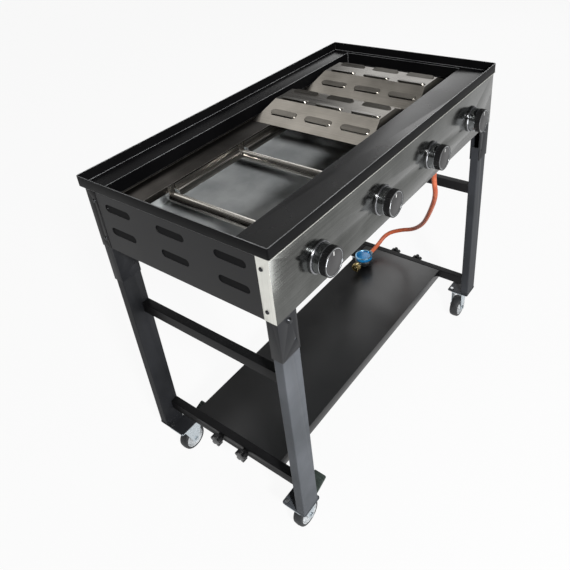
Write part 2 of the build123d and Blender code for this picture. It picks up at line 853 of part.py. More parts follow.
# Flame tamers: hipped sheet roofs with two rows of raised louvres on each side
tamer_length = tamer_end - tamer_start
tamer_middle = front + (tamer_start + tamer_end) / 2
roof_foot = Rectangle(tamer_width, tamer_length)
roof_top = Pos(0, 0, tamer_rise) * Rectangle(tamer_flat, tamer_length - 2 * tamer_hip)
roof = loft([roof_foot, roof_top], ruled=True)
tamer = roof - Pos(0, 0, -tamer_sheet) * roof
louvre_plan = (tamer_louvre_length, tamer_louvre_width)
upper_louvre = hooded_louvre(*louvre_plan, tamer_upper_rise, tamer_louvre_taper, tamer_sheet)
lower_louvre = hooded_louvre(*louvre_plan, tamer_lower_rise, tamer_louvre_taper, tamer_sheet)
slope_turn = math.degrees(math.atan2(tamer_rise, (tamer_width - tamer_flat) / 2))
slope_middle = (tamer_width + tamer_flat) / 4
upper_row = tamer_flat / 2 - tamer_upper_inset
for side in (-1, 1):
    slope = Pos(side * slope_middle, 0, tamer_rise / 2) * Rot(0, side * slope_turn, 0)
    flat = Pos(side * upper_row, 0, tamer_rise)
    for i in range(3):
        y = tamer_row_start + i * tamer_row_pitch - tamer_length / 2
        for surface, (hood, hollow) in ((slope, lower_louvre), (flat, upper_louvre)):
            spot = Pos(0, y, 0) * surface * Rot(0, 0, -90 * side)
            tamer += spot * hood
            tamer -= spot * hollow
tamer = Pos(0, tamer_middle, ledge_level) * tamer
save(Pos(burner_places[2], 0, 0) * tamer, "flame_tamer_left")
save(Pos(burner_places[3], 0, 0) * tamer, "flame_tamer_right")

# Tray runners: angles between the front and rear panels
runner_low = runner_level - runner_sheet
runner = block(runner_in, runner_out, panel_back, rear_inner, runner_low, runner_level + runner_height)
runner += block(runner_in - runner_flange, runner_in, panel_back, rear_inner, runner_low, runner_level)
save(group([runner, mirror_x(runner)]), "tray_runners")

# Drip tray: drawn pan with a folded grip at the back
tray_front = front + tray_start
tray = block(-tray_half, tray_half, tray_front, rear_face, tray_low, tray_top)
pan_half = tray_half - tray_sheet
pan_front = tray_front + tray_sheet
pan_back = rear_face - tray_sheet
tray -= block(-pan_half, pan_half, pan_front, pan_back, tray_low + tray_sheet, tray_top + 1)
grip_points = [
    (rear_face - tray_sheet, tray_top),
    (rear_face + tray_grip, tray_top),
    (rear_face + tray_grip, tray_top - tray_grip_drop),
]
tray += folded_x(grip_points, tray_sheet, -tray_half, tray_half)
save(tray, "drip_tray")

# Gas manifold: pipe with a boss for each valve, two clips to the panel and the hose inlet
pipe_y = front + manifold_setback
pipe_start = burner_places[0] - manifold_overhang
pipe_end = burner_places[-1] + manifold_overhang
manifold = rod_x(manifold_radius, pipe_start, pipe_end, pipe_y, manifold_level)
for x in burner_places:
    manifold += rod_z(boss_radius, manifold_level, boss_top, x, pipe_y)
for x in (-burner_pitch, burner_pitch):
    half = clip_width / 2
    low = manifold_level - clip_sheet / 2
    manifold += block(x - half, x + half, panel_back, pipe_y, low, low + clip_sheet)
    foot_low = manifold_level - clip_foot / 2
    foot_back = panel_back + clip_sheet
    manifold += block(x - half, x + half, panel_back, foot_back, foot_low, foot_low + clip_foot)
inlet_x = burner_places[2] + inlet_offset
inlet_y = pipe_y + inlet_setback
inlet_low = manifold_level - inlet_drop
manifold += rod_z(elbow_radius, inlet_low + ferrule_length, manifold_level, inlet_x, inlet_y)
manifold += rod_z(ferrule_radius, inlet_low, inlet_low + ferrule_length, inlet_x, inlet_y)
save(manifold, "gas_manifold")

# Gas valves: tap body on each boss, screwed cover and jet into the burner mouth
valve_front = front + valve_start
valve_end = valve_front + valve_length
cavity_end = valve_front + plug_length + 2 * plug_end_gap
valve = rod_y(valve_radius, valve_front, valve_end, 0, spindle_level)
valve += rod_z(inlet_radius, boss_top, spindle_level, 0, pipe_y)
block_top = spindle_level + valve_block_top
block_front = valve_end - valve_block_length
valve += block(-valve_block_half, valve_block_half, block_front, valve_end, spindle_level, block_top)
valve -= rod_y(plug_radius + run_gap, valve_front - 1, cavity_end, 0, spindle_level)
cover = rod_y(valve_radius, valve_front - valve_cover, valve_front, 0, spindle_level)
cover -= rod_y(stem_radius + run_gap, valve_front - valve_cover - 1, valve_front + 1, 0, spindle_level)
jet = rod_y(jet_radius, valve_end, valve_end + jet_length, 0, burner_level)
valve_solids = []
for x in burner_places:
    valve_solids += [Pos(x, 0, 0) * valve, Pos(x, 0, 0) * cover, Pos(x, 0, 0) * jet]
save(group(valve_solids), "gas_valves")


# Valve plugs: turned plug with a gas port and a flatted socket for the stem
def flatted(radius, flat):
    return Circle(radius) - Pos(0, flat + radius) * Rectangle(4 * radius, 2 * radius)


plug_front = valve_front + plug_end_gap
plug_end = plug_front + plug_length
plug = rod_y(plug_radius, plug_front, plug_end, 0, 0)
socket_plane = Plane(origin=(0, plug_front, 0), x_dir=(1, 0, 0), z_dir=(0, 1, 0))
plug -= extrude(socket_plane * flatted(stem_radius + run_gap, stem_flat + run_gap), stem_socket)
port_end = plug_end - plug_port_back
wide = plug_radius + 1
plug -= block(-plug_port_half, plug_port_half, port_end - 2 * plug_port_half, port_end, -wide, wide)
for i, x in enumerate(burner_places):
    save(Pos(x, 0, spindle_level) * plug, "valve_plug_" + str(i + 1))

# Knob bezels: chamfered rings on the front panel
bezel_front = panel_face - bezel_height
bezel_profile = [
    (bezel_radius - bezel_wall, bezel_front),
    (bezel_radius - bezel_chamfer, bezel_front),
    (bezel_radius, bezel_front + bezel_chamfer),
    (bezel_radius, panel_face),
    (bezel_radius - bezel_wall, panel_face),
]
bezel = turned_y(bezel_profile)
save(group([Pos(x, 0, spindle_level) * bezel for x in burner_places]), "knob_bezels")

# Control knobs: turned body with a dished face and a pointer, on its stem
knob_face = front - knob_reach
knob_back = panel_face - knob_rest_gap - knob_travel
dish_radius = knob_radius - knob_ring
dish_face = knob_face + knob_dish
knob_profile = [
    (0, dish_face),
    (dish_radius, dish_face),
    (dish_radius, knob_face),
    (knob_radius - knob_dish, knob_face),
    (knob_radius, dish_face),
    (knob_radius, knob_back),
    (0, knob_back),
]
knob_body = turned_y(knob_profile)
pointer_top = dish_radius - pointer_gap
pointer = block(
    -pointer_width / 2,
    pointer_width / 2,
    knob_face,
    dish_face,
    pointer_top - pointer_length,
    pointer_top,
)
knob_body += pointer
stem_start = dish_face + stem_seat
stem_end = plug_front + stem_engage
stem_plane = Plane(origin=(0, stem_start, 0), x_dir=(1, 0, 0), z_dir=(0, 1, 0))
knob_body -= rod_y(stem_radius + fit_gap / 2, stem_start, knob_back + 1, 0, 0)
stem = rod_y(stem_radius, stem_start, plug_front - valve_cover, 0, 0)
stem += extrude(stem_plane * flatted(stem_radius, stem_flat), stem_end - stem_start)
for i, x in enumerate(burner_places):
    place = Pos(x, 0, spindle_level)
    save(group([place * knob_body, place * stem]), "control_knob_" + str(i + 1))

# Gas hose: straight runs joined by wide tangent arcs
reg_x = shelf_half - regulator_inset
reg_y = shelf_front + regulator_setback
bore_level = shelf_top + regulator_bore_rise
outlet_end = reg_x + regulator_back
hose_places = [(inlet_x, inlet_y, inlet_low), (inlet_x, inlet_y, inlet_low - hose_lead)]
hose_places += hose_route
hose_places += [(outlet_end + hose_lead, reg_y, bore_level), (outlet_end, reg_y, bore_level)]
points = [Vector(*place) for place in hose_places]
radii = []
for a, b, c in zip(points[:-2], points[1:-1], points[2:]):
    turn = math.radians((b - a).get_angle(c - b))
    radii.append(hose_bend_share * min((b - a).length, (c - b).length) / math.tan(turn / 2))
hose_line = FilletPolyline(*points, radius=radii)
hose_section = Plane(origin=hose_line @ 0, z_dir=hose_line % 0) * Circle(hose_radius)
hose = sweep(hose_section, path=hose_line)
save(hose, "gas_hose")
print("hose radii", [round(r) for r in radii])
print("hose length", round(hose_line.length, 1))
tube_volume = math.pi * hose_radius ** 2 * hose_line.length
print("hose volume", round(hose.volume), "section times length", round(tube_volume))

# Regulator lying on the shelf: bowl and rim, cap, outlet to the hose and inlet spigot
rim_low = shelf_top + regulator_body_height - regulator_rim_height
bowl = [
    (0, shelf_top),
    (regulator_foot_radius, shelf_top),
    (regulator_bowl_radius, shelf_top + regulator_bowl_rise),
    (regulator_bowl_radius, rim_low),
    (regulator_rim_radius, rim_low),
    (regulator_rim_radius, shelf_top + regulator_body_height),
    (0, shelf_top + regulator_body_height),
]
regulator = Pos(reg_x, reg_y, 0) * turned_z(bowl)
regulator += rod_x(outlet_radius, reg_x, outlet_end, reg_y, bore_level)
spigot_end = reg_x - spigot_length
regulator += rod_x(spigot_radius, spigot_end, reg_x, reg_y, bore_level)
regulator += rod_x(spigot_head_radius, spigot_end, spigot_end + spigot_head_length, reg_y, bore_level)
save(regulator, "regulator_body")
cap_base = shelf_top + regulator_body_height
cap = [
    (0, cap_base),
    (regulator_rim_radius, cap_base),
    (regulator_rim_radius, cap_base + regulator_cap_wall),
    (regulator_cap_top_radius, cap_base + regulator_cap_height),
    (0, cap_base + regulator_cap_height),
]
save(Pos(reg_x, reg_y, 0) * turned_z(cap), "regulator_cap")

# Union nut, free to turn on the spigot behind its head
nut_start = spigot_end - nut_mouth
nut_inner = spigot_end + spigot_head_length + slide_gap
nut_end = nut_inner + nut_wall
union = rod_x(nut_radius, nut_start, nut_end, reg_y, bore_level)
union -= rod_x(nut_bore_radius, nut_start - 1, nut_start + nut_thread, reg_y, bore_level)
union -= rod_x(nut_relief_radius, nut_start + nut_thread, nut_inner, reg_y, bore_level)
union -= rod_x(spigot_radius + run_gap, nut_inner - 1, nut_end + 1, reg_y, bore_level)
for i in range(nut_flutes):
    turn = math.radians(i * 360 / nut_flutes)
    y = reg_y + nut_radius * math.cos(turn)
    z = bore_level + nut_radius * math.sin(turn)
    union -= rod_x(nut_flute_radius, nut_start - 1, nut_end + 1, y, z)
save(union, "regulator_nut")
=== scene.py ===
import json
import math

import bpy
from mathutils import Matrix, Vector


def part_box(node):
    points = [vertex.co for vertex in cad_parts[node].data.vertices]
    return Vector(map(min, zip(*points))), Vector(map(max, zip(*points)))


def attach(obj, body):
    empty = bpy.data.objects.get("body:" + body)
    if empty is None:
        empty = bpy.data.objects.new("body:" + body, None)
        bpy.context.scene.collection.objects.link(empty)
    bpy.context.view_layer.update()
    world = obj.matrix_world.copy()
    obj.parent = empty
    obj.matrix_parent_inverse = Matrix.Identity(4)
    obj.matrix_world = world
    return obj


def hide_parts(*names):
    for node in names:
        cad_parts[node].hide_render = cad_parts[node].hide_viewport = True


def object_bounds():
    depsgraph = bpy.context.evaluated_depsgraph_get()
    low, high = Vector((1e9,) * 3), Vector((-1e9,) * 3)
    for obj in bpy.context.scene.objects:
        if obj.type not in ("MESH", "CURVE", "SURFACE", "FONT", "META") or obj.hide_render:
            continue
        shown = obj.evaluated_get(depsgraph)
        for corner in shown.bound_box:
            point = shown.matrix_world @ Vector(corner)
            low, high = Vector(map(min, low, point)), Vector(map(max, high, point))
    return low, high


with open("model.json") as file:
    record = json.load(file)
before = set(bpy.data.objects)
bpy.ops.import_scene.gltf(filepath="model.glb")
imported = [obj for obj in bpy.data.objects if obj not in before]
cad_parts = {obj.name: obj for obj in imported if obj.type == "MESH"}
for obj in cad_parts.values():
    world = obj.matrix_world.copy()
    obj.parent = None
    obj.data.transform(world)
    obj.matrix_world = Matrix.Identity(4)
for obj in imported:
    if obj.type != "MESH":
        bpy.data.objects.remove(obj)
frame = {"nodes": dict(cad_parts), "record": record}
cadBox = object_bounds()
nodes = frame["nodes"]
mm = 0.001  # sizes of pieces are in millimetres, and angles in degrees
print("frame loaded,", len(nodes), "nodes")


# colours and nodes

def linear(hexText):
    channels = []
    for i in (0, 2, 4):
        c = int(hexText[i:i + 2], 16) / 255
        channels.append(c / 12.92 if c <= 0.04045 else ((c + 0.055) / 1.055) ** 2.4)
    return (*channels, 1.0)


def perMm(size):
    return 1000.0 / size  # texture scale whose features are about this many millimetres


def addNode(tree, kind, settings=None, inputs=None):
    node = tree.nodes.new(kind)
    for key, value in (settings or {}).items():
        setattr(node, key, value)
    for key, value in (inputs or {}).items():
        if isinstance(value, bpy.types.NodeSocket):
            tree.links.new(value, node.inputs[key])
        else:
            node.inputs[key].default_value = value
    return node


def startMaterial(name, metallic, roughness, ior=None):
    material = bpy.data.materials.new(name)
    material.use_nodes = True
    tree = material.node_tree
    shader = tree.nodes["Principled BSDF"]
    shader.inputs["Metallic"].default_value = metallic
    shader.inputs["Roughness"].default_value = roughness
    if ior:
        shader.inputs["IOR"].default_value = ior
    place = addNode(tree, "ShaderNodeTexCoord").outputs["Object"]
    return material, tree, shader, place


resinIor = 1.5  # coats, plastics and rubber
# most of a noise lies between these values
tintSpan = (0.34, 0.66)
dullSpan = (0.3, 0.7)


# a noise moves the colour between two tones
def tint(tree, shader, noise, dark, light):
    low, high = tintSpan
    tone = addNode(tree, "ShaderNodeMapRange", {},
                   {"Value": noise, "From Min": low, "From Max": high, "To Min": 0.0, "To Max": 1.0})
    mix = addNode(tree, "ShaderNodeMix", {"data_type": "RGBA"},
                  {0: tone.outputs[0], 6: linear(dark), 7: linear(light)})
    tree.links.new(mix.outputs[2], shader.inputs["Base Color"])


# and the same or another noise makes some spots duller than others
def dull(tree, shader, noise, least, most):
    low, high = dullSpan
    rough = addNode(tree, "ShaderNodeMapRange", {},
                    {"Value": noise, "From Min": low, "From Max": high, "To Min": least, "To Max": most})
    tree.links.new(rough.outputs[0], shader.inputs["Roughness"])


def emboss(tree, shader, height, strength, deep):
    bump = addNode(tree, "ShaderNodeBump", {},
                   {"Height": height, "Strength": strength, "Distance": deep * mm})
    tree.links.new(bump.outputs[0], shader.inputs["Normal"])


# polyester powder coat over sheet steel, sprayed and baked: satin, with a fine orange peel
def powderCoat(name, dark, light, roughness, gloss, peelMm=1.6, peelDeep=0.06, peelStrength=0.12,
               cloudMm=140, uneven=0.05):
    material, tree, shader, place = startMaterial(name, 0.0, roughness, resinIor)
    shader.inputs["Specular IOR Level"].default_value = gloss
    peel = addNode(tree, "ShaderNodeTexNoise", {},
                   {"Vector": place, "Scale": perMm(peelMm), "Detail": 3.0})
    cloud = addNode(tree, "ShaderNodeTexNoise", {},
                    {"Vector": place, "Scale": perMm(cloudMm), "Detail": 4.0})
    tint(tree, shader, cloud.outputs[0], dark, light)
    dull(tree, shader, cloud.outputs[0], roughness - uneven, roughness + uneven)
    emboss(tree, shader, peel.outputs[0], peelStrength, peelDeep)
    return material


# steel brushed on the belt: long fine lines along one axis, and soft cloudy stains
def brushedSteel(name, dark, light, roughness, grain, lineMm=0.9, longMm=220, lineDeep=0.03,
                 lineStrength=0.1, cloudMm=90, stain=0.5, smoother=0.06, duller=0.08):
    material, tree, shader, place = startMaterial(name, 1.0, roughness)
    stretch = [perMm(lineMm)] * 3
    stretch[grain] = perMm(longMm)
    along = addNode(tree, "ShaderNodeMapping", {}, {"Vector": place, "Scale": stretch})
    lines = addNode(tree, "ShaderNodeTexNoise", {},
                    {"Vector": along.outputs[0], "Scale": 1.0, "Detail": 3.0})
    cloud = addNode(tree, "ShaderNodeTexNoise", {},
                    {"Vector": place, "Scale": perMm(cloudMm), "Detail": 3.0})
    blend = addNode(tree, "ShaderNodeMix", {}, {0: stain, 2: lines.outputs[0], 3: cloud.outputs[0]})
    tint(tree, shader, blend.outputs[0], dark, light)
    dull(tree, shader, lines.outputs[0], roughness - smoother, roughness + duller)
    emboss(tree, shader, lines.outputs[0], lineStrength, lineDeep)
    return material


# hot-dip galvanised sheet, gone chalky: pale clouds over faint flat crystals, part metal and part dull
def galvanisedSheet(name, dark, light, roughness, bare, crystalMm=22, cloudMm=120, chalk=0.94,
                    smoother=0.05, duller=0.08):
    material, tree, shader, place = startMaterial(name, bare, roughness, resinIor)
    crystal = addNode(tree, "ShaderNodeTexVoronoi", {}, {"Vector": place, "Scale": perMm(crystalMm)})
    grey = addNode(tree, "ShaderNodeSeparateColor", {}, {0: crystal.outputs["Color"]})
    cloud = addNode(tree, "ShaderNodeTexNoise", {},
                    {"Vector": place, "Scale": perMm(cloudMm), "Detail": 4.0})
    blend = addNode(tree, "ShaderNodeMix", {}, {0: chalk, 2: grey.outputs[0], 3: cloud.outputs[0]})
    tint(tree, shader, blend.outputs[0], dark, light)
    dull(tree, shader, cloud.outputs[0], roughness - smoother, roughness + duller)
    return material


# plated or cast metal: fine mottling only
def platedMetal(name, dark, light, roughness, mottleMm=3.0, smoother=0.04, duller=0.06):
    material, tree, shader, place = startMaterial(name, 1.0, roughness)
    mottle = addNode(tree, "ShaderNodeTexNoise", {},
                     {"Vector": place, "Scale": perMm(mottleMm), "Detail": 4.0})
    tint(tree, shader, mottle.outputs[0], dark, light)
    dull(tree, shader, mottle.outputs[0], roughness - smoother, roughness + duller)
    return material


# moulded plastic or rubber: fine moulding grain under a faint drift of colour
def mouldedPlastic(name, dark, light, roughness, grainMm=0.8, grainDeep=0.04, grainStrength=0.2,
                   cloudMm=25):
    material, tree, shader, place = startMaterial(name, 0.0, roughness, resinIor)
    grain = addNode(tree, "ShaderNodeTexNoise", {},
                    {"Vector": place, "Scale": perMm(grainMm), "Detail": 2.0})
    cloud = addNode(tree, "ShaderNodeTexNoise", {},
                    {"Vector": place, "Scale": perMm(cloudMm), "Detail": 3.0})
    tint(tree, shader, cloud.outputs[0], dark, light)
    emboss(tree, shader, grain.outputs[0], grainStrength, grainDeep)
    return material


blackCoat = powderCoat("blackPowderCoat", "0f0f10", "161617", 0.45, 0.14)  # rear panel and rails
sideCoat = powderCoat("sidePowderCoat", "1c1c1d", "252526", 0.45, 0.18)  # side panels, a little greyer
rimShadeCoat = powderCoat("rimPaintedShadeCoat", "070708", "0b0b0c", 0.5, 0.08)  # painted shade: a darker, duller copy of the deck coat for the rim's upright faces
shelfCoat = powderCoat("shelfPowderCoat", "0a0a0b", "0f0f10", 0.34, 0.55)  # wiped, with a soft sheen
louvreShadeCoat = powderCoat("louvrePaintedShadeCoat", "0f0f10", "161617", 0.6, 0.06)  # painted shade: a darker coat with hardly any shine in the louvre hollows
deckCoat = powderCoat("deckPowderCoat", "0b0b0c", "121213", 0.26, 0.26)  # top frame, wiped smoother
litLegCoat = powderCoat("legPowderCoat", "44474b", "585b60", 0.45, 0.2)  # front left leg: painted light, the lit copy of the one leg coat
paintedShadeLegCoat = powderCoat("shadeLegPowderCoat", "292b2e", "37393d", 0.45, 0.18)  # front right leg: painted shade, a darker copy of the leg coat
shadedRearLegCoat = powderCoat("rearLegPowderCoat", "18191b", "232427", 0.45, 0.16)  # rear legs and brackets: painted shade, the darkest copy of the leg coat
wornRimEdgeHighlight = powderCoat("wearAndHighlightRimEdge", "5c5d5e", "8c8d8e", 0.32, 0.4)  # pale rolled edges of the rim: painted highlight, with some wear of the coat
coatEdgeHighlight = powderCoat("paintedHighlightCoatEdge", "3c3d3f", "58595b", 0.3, 0.5)  # painted highlight: pale lines on the rolled edges of the black coats
paintedDarkPanelSteel = brushedSteel("paintedDarkReflectionPanelSteel", "4f504e", "70716f", 0.18, 0)  # painted reflection: darkened for the dark surroundings it mirrors, with fine lines
paleReflectionReturnSteel = brushedSteel("paintedReflectionReturnSteel", "d6d6cf", "ecece6", 0.5, 2)  # painted reflection: near-white, dull steel on the panel's returns and rolled edges and on the rim hem
tamerSteel = brushedSteel("heatTintedTamerSteel", "716d66", "969189", 0.34, 1, 1.2)  # straw-grey sheet
shadedTopSteel = brushedSteel("paintedShadeTopSteel", "504d49", "6d6a64", 0.3, 1, 1.2)  # painted shade: a darker copy of the tamer steel for upward faces
burnerSteel = brushedSteel("brushedBurnerTube", "a29e97", "cbc7c0", 0.26, 1, 0.8)  # brighter drawn tube
ledgeSteel = brushedSteel("darkLedgeSteel", "2b2927", "4a4744", 0.38, 0)  # dark inner sheet
stripSteel = brushedSteel("brushedStripSteel", "7a7772", "9c9994", 0.3, 0)  # bent steel strip
traySteel = galvanisedSheet("dullGalvanisedTray", "c4c8c9", "e6e9e9", 0.16, 0.55)  # pale chalky zinc
runnerSteel = platedMetal("galvanisedRunner", "8d9092", "aeb1b3", 0.35, 6.0)  # dull spangle
zincPlate = platedMetal("brightZincPlate", "a9b2b8", "d3dbe0", 0.28, 2.0)  # bluish bright zinc
fastenerZinc = platedMetal("zincFastener", "8f9192", "c3c5c6", 0.3, 1.0)  # small bright heads
fastenerDark = platedMetal("blackenedFastener", "2e2f31", "47484a", 0.35, 1.0)  # dark oiled heads
darkBezel = platedMetal("blackChromeBezel", "77787a", "96979a", 0.2, 2.0)  # smoky mirror
knobChrome = platedMetal("gunmetalChrome", "b4b7ba", "d4d7da", 0.1, 2.0)  # bright sharp highlights
knobBlack = mouldedPlastic("mouldedKnobBlack", "0d0d0e", "161617", 0.35)  # satin grip
knobFaceGrey = mouldedPlastic("satinKnobFace", "1e1d1e", "2a292a", 0.4)  # softer end face
pointerWhite = mouldedPlastic("printedPointerWhite", "c8c8c6", "dcdcda", 0.5)  # flat printed mark
starBlack = mouldedPlastic("mouldedStarBlack", "0c0c0d", "141415", 0.35)  # satin lobes
pedalGreen = mouldedPlastic("mouldedPedalNylon", "272f2b", "39433e", 0.45)  # dark greenish nylon
tyreRubber = mouldedPlastic("greyTyreRubber", "1c1d1f", "292b2d", 0.6, 1.2, 0.1)  # matt grained tread
coreGrey = mouldedPlastic("mouldedWheelCore", "a9acae", "c0c3c5", 0.45)  # pale plain core
valveBrass = platedMetal("machinedBrass", "b79f66", "dccb98", 0.24, 2.0)  # clean turned brass
pipeSteel = platedMetal("mattSteelPipe", "505253", "6b6d6e", 0.45, 3.0)  # grey scaled pipe
hoseRubber = mouldedPlastic("orangeHoseRubber", "a84c2c", "bf6340", 0.5, 1.0, 0.05)  # faded orange
capBlue = mouldedPlastic("glossBlueCap", "0f5f94", "1a76ad", 0.22, 1.5, 0.02)  # glossy enamel
rimBlue = platedMetal("crimpedBlueRim", "6fa3c4", "9cc4dc", 0.3, 2.0)  # pale metal rim: partly its own colour, partly a painted highlight
castZinc = platedMetal("castRegulatorZinc", "4b4e50", "66696b", 0.45, 2.5)  # sandy grey casting

bodies = frame["record"]["behaviour"]["bodies"]
bodyOf = {node: body for body, group in bodies.items() for node in group}
corners = ["front_left", "front_right", "rear_left", "rear_right"]

plainFinishes = {
    ledgeSteel: ["front_firewall"],
    runnerSteel: ["tray_runners"],
    fastenerZinc: ["caster_bolts", "shelf_weld_nuts"],
    fastenerDark: ["leg_bolts"],
    valveBrass: ["gas_valves", "valve_plug_1", "valve_plug_2", "valve_plug_3", "valve_plug_4"],
    pipeSteel: ["gas_manifold"],
}
for material, names in plainFinishes.items():
    for name in names:
        slots = nodes[name].data.materials
        slots.clear()
        slots.append(material)
print("finishes on the inner CAD nodes")


# tools for pieces that are turned, cut, copied, or rolled over at their edges

mergeGaps = {"turned": 0.002, "solid": 0.004, "finished": 0.005}  # mm between points that count as one
flatFold = 0.5  # degrees between facets of one flat face
alongAxis = 0.9  # a normal with this much of an axis faces along it
acrossAxis = 0.2  # and with no more than this, across it


def clearSelection():
    if bpy.context.object and bpy.context.object.mode != "OBJECT":
        bpy.ops.object.mode_set(mode="OBJECT")
    bpy.ops.object.select_all(action="DESELECT")


def pickOnly(piece):
    clearSelection()
    piece.select_set(True)
    bpy.context.view_layer.objects.active = piece


def pickFaces(piece, rule):
    bpy.ops.object.mode_set(mode="EDIT")
    bpy.ops.mesh.select_mode(type="FACE")
    bpy.ops.mesh.select_all(action="DESELECT")
    bpy.ops.object.mode_set(mode="OBJECT")
    for face in piece.data.polygons:
        face.select = bool(rule(face))
    bpy.ops.object.mode_set(mode="EDIT")


def applyBevel(piece, width, segments=2, angle=35.0, slot=-1):
    bpy.ops.object.mode_set(mode="OBJECT")
    bevel = piece.modifiers.new("rolledEdge", "BEVEL")
    bevel.material = slot
    bevel.width = width * mm
    bevel.segments = segments
    bevel.limit_method = "ANGLE"
    bevel.angle_limit = math.radians(angle)
    bpy.ops.object.modifier_apply(modifier=bevel.name)


# leaves the whole mesh picked in edit mode
def weld(gap):
    bpy.ops.object.mode_set(mode="EDIT")
    bpy.ops.mesh.select_all(action="SELECT")
    bpy.ops.mesh.remove_doubles(threshold=gap * mm)


def finishPiece(piece, name, body, material, smooth=35.0):
    pickOnly(piece)
    bpy.ops.object.transform_apply(location=True, rotation=True, scale=True)
    weld(mergeGaps["finished"])
    bpy.ops.object.mode_set(mode="OBJECT")
    bpy.ops.object.shade_smooth_by_angle(angle=math.radians(smooth))
    piece.name = name
    piece.data.name = name
    if material:
        piece.data.materials.clear()
        piece.data.materials.append(material)
    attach(piece, body)


def copyPiece(piece, shift):
    pickOnly(piece)
    bpy.ops.object.duplicate()
    bpy.ops.transform.translate(value=shift)
    return bpy.context.object


# rings are (radius, distance along the axis) in mm; an open tube's last ring meets its first
def turn(rings, centre, axis, sides=48, tube=False):
    clearSelection()
    axis = Vector(axis)
    centre = Vector(centre)
    facing = Vector((0, 0, 1)).rotation_difference(axis).to_euler()
    radius, reach = rings[0]
    start = centre + axis * reach * mm
    bpy.ops.mesh.primitive_circle_add(vertices=sides, radius=radius * mm, location=start, rotation=facing,
                                      fill_type="NOTHING" if tube else "NGON")
    piece = bpy.context.object
    bpy.ops.object.transform_apply(location=True, rotation=True, scale=True)
    bpy.ops.object.mode_set(mode="EDIT")
    bpy.ops.mesh.select_mode(type="VERT")
    bpy.ops.mesh.select_all(action="SELECT")
    for (radius, reach), (nextRadius, nextReach) in zip(rings, rings[1:]):
        step = axis * (nextReach - reach) * mm
        grow = nextRadius / radius
        bpy.ops.mesh.extrude_region_move(TRANSFORM_OT_translate={"value": step})
        bpy.ops.transform.resize(value=(grow, grow, grow), center_override=centre + axis * nextReach * mm)
    weld(mergeGaps["turned"])
    bpy.ops.mesh.normals_make_consistent(inside=False)
    bpy.ops.object.mode_set(mode="OBJECT")
    return piece


def joinPieces(pieces):
    pickOnly(pieces[0])
    for piece in pieces:
        piece.select_set(True)
    bpy.ops.object.join()
    return bpy.context.object


def plainBlock(middle, size):
    clearSelection()
    bpy.ops.mesh.primitive_cube_add(size=1, location=middle, scale=size)
    bpy.ops.object.transform_apply(location=True, rotation=True, scale=True)
    return bpy.context.object


# adds the tools to a piece or cuts them from it
def combine(piece, tools, operation):
    tool = joinPieces(tools)
    pickOnly(piece)
    boolean = piece.modifiers.new("combine", "BOOLEAN")
    boolean.operation = operation
    boolean.object = tool
    bpy.ops.object.modifier_apply(modifier=boolean.name)
    bpy.data.objects.remove(tool)


# a merged copy of a CAD solid with its sharp edges rolled over, shown in its place
def softCopy(nodeName, edge, material, edgeMaterial):
    piece = bpy.data.objects.new(nodeName + "Soft", nodes[nodeName].data.copy())
    bpy.context.scene.collection.objects.link(piece)
    pickOnly(piece)
    weld(mergeGaps["solid"])
    bpy.ops.mesh.dissolve_limited(angle_limit=math.radians(flatFold))
    piece.data.materials.clear()
    piece.data.materials.append(material)
    piece.data.materials.append(edgeMaterial)
    applyBevel(piece, edge, slot=1)
    words = nodeName.split("_")
    name = words[0] + "".join(w.capitalize() for w in words[1:])
    finishPiece(piece, name, bodyOf[nodeName], None)
    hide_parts(nodeName)


# folded sheet, tube and castings: roll on each sharp edge in mm, finish, finish of the rolled edge (in
# most rows a paler finish, a painted highlight)
rolledEdges = {
    "top_frame": (0.9, deckCoat, wornRimEdgeHighlight),
    "front_panel": (0.4, paintedDarkPanelSteel, paleReflectionReturnSteel),
    "rear_panel": (0.4, blackCoat, coatEdgeHighlight),
    "leg_brackets": (0.5, shadedRearLegCoat, coatEdgeHighlight),
    "shelf": (0.6, shelfCoat, coatEdgeHighlight),
    "drip_tray": (0.4, traySteel, traySteel),
    # painted highlight: the bright tube steel on the rolled edges of the ledge and strips
    "rear_burner_ledge": (0.4, ledgeSteel, burnerSteel),
    "carryover_strips": (0.3, stripSteel, burnerSteel),
    "caster_plates": (0.6, zincPlate, zincPlate),
    "knob_bezels": (0.5, darkBezel, darkBezel),
    "regulator_body": (0.8, castZinc, castZinc),
    "regulator_nut": (0.5, valveBrass, valveBrass),
    "brake_pedal_front_left": (0.7, pedalGreen, pedalGreen),
    "brake_pedal_rear_left": (0.7, pedalGreen, pedalGreen),
}
# the legs share one coat, painted in a lit tone at the front left and in shaded tones elsewhere
legLightAndShadeCoats = {"front_left": litLegCoat, "front_right": paintedShadeLegCoat}
for place in corners:
    rolledEdges["leg_" + place] = (0.6, legLightAndShadeCoats.get(place, shadedRearLegCoat), coatEdgeHighlight)
    rolledEdges["caster_fork_" + place] = (0.6, zincPlate, zincPlate)
    rolledEdges["star_knob_" + place] = (1.6, starBlack, starBlack)
for side in ("left", "right"):
    rolledEdges["rail_upper_" + side] = (0.5, blackCoat, coatEdgeHighlight)
    rolledEdges["rail_lower_" + side] = (0.5, blackCoat, coatEdgeHighlight)
for number in range(1, 5):
    rolledEdges["burner_" + str(number)] = (0.2, burnerSteel, burnerSteel)

for name, (edge, material, edgeMaterial) in rolledEdges.items():
    softCopy(name, edge, material, edgeMaterial)

# painted reflection: the returns of the front panel, folded round the sides, take the near-white steel
panel = bpy.data.objects["frontPanel"]
returnDepth = 3 * mm
for face in panel.data.polygons:
    if abs(face.normal.x) > alongAxis and abs(face.center.x) > cadBox[1][0] - returnDepth:
        face.material_index = 1
